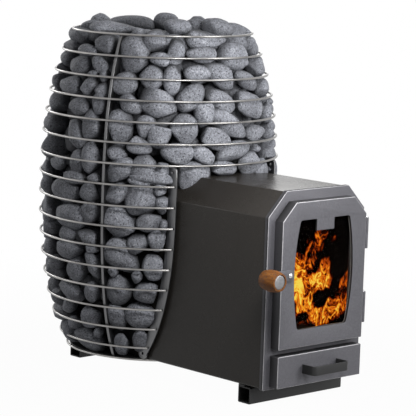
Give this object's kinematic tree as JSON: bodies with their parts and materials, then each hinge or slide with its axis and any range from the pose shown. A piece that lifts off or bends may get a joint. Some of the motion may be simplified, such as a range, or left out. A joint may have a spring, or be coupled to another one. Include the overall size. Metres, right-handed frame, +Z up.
{
  "type": "sauna stove",
  "caption": "Wood-burning sauna stove: a steel firebox with a glazed door and an ash drawer runs through a barrel of wire rings filled with stones.",
  "frame": {"origin": "on the floor, under the middle of the stove's box", "axes": "+Z up, -Y out of the door, +X towards the hinges, on the right for someone who faces the door"},
  "size_m": [0.5472, 0.8558, 0.7957],
  "materials": {
    "stainless_steel": "satin wire and flat bar",
    "black_steel": "matt black",
    "dark_paint": "matt heat-resistant anthracite",
    "grey_paint": "satin grey",
    "bright_steel": "bright",
    "cast_iron": "as cast",
    "fire_glass": "clear ceramic pane",
    "rope_seal": "glass-fibre rope",
    "knob_wood": "oiled turned wood",
    "stone": "rounded grey stones"
  },
  "bodies": {
    "stove": {"front_foot": "black_steel", "rear_foot": "black_steel", "base_plate": "black_steel", "ring_01": "stainless_steel", "ring_02": "stainless_steel", "ring_03": "stainless_steel", "ring_04": "stainless_steel", "ring_05": "stainless_steel", "ring_06": "stainless_steel", "ring_07": "stainless_steel", "ring_08": "stainless_steel", "ring_09": "stainless_steel", "ring_10": "stainless_steel", "ring_11": "stainless_steel", "ring_12": "stainless_steel", "ring_13": "stainless_steel", "ring_14": "stainless_steel", "ring_15": "stainless_steel", "ring_16": "stainless_steel", "base_ring": "stainless_steel", "rib_front_left": "stainless_steel", "rib_front_right": "stainless_steel", "rib_rear_left": "stainless_steel", "rib_rear_right": "stainless_steel", "arch_plate_left": "stainless_steel", "arch_plate_right": "stainless_steel", "firebox_shell": "dark_paint", "front_frame": "grey_paint", "hearth_plate": "black_steel", "grate": "cast_iron", "baffle_plate": "black_steel", "flue_collar": "dark_paint", "latch_keeper": "bright_steel", "hinge_frame_knuckle_lower": "grey_paint", "hinge_frame_knuckle_upper": "grey_paint", "hinge_pin_lower": "bright_steel", "hinge_pin_upper": "bright_steel", "stones_left": "stone", "stones_right": "stone", "stones_rear": "stone", "stones_over_firebox": "stone", "stones_crown": "stone"},
    "door": {"door_panel": "grey_paint", "door_glass": "fire_glass", "glass_gasket": "rope_seal", "door_gasket": "rope_seal", "glass_clamp_upper": "black_steel", "glass_clamp_lower": "black_steel", "hinge_door_knuckle_lower": "grey_paint", "hinge_door_knuckle_upper": "grey_paint", "latch_pivot_bolt": "bright_steel", "latch_pivot_nut": "bright_steel"},
    "latch": {"latch_lever": "stainless_steel", "knob": "knob_wood", "knob_cap": "bright_steel", "knob_screw": "bright_steel"},
    "ash_drawer": {"ash_drawer_front": "grey_paint", "ash_pan": "black_steel", "drawer_handle": "grey_paint"}
  },
  "joints": [
    {"name": "door_swing", "type": "hinge", "parent": "stove", "child": "door", "pos_m": [0.137, -0.36585, 0.28], "axis": [0, 0, 1], "range_deg": [0, 115]},
    {"name": "latch_lift", "type": "hinge", "parent": "door", "child": "latch", "pos_m": [-0.107, -0.37705, 0.286], "axis": [0, 1, 0], "range_deg": [0, 40]},
    {"name": "ash_drawer_slide", "type": "slide", "parent": "stove", "child": "ash_drawer", "axis": [0, -1, 0], "range_m": [0, 0.3]}
  ]
}
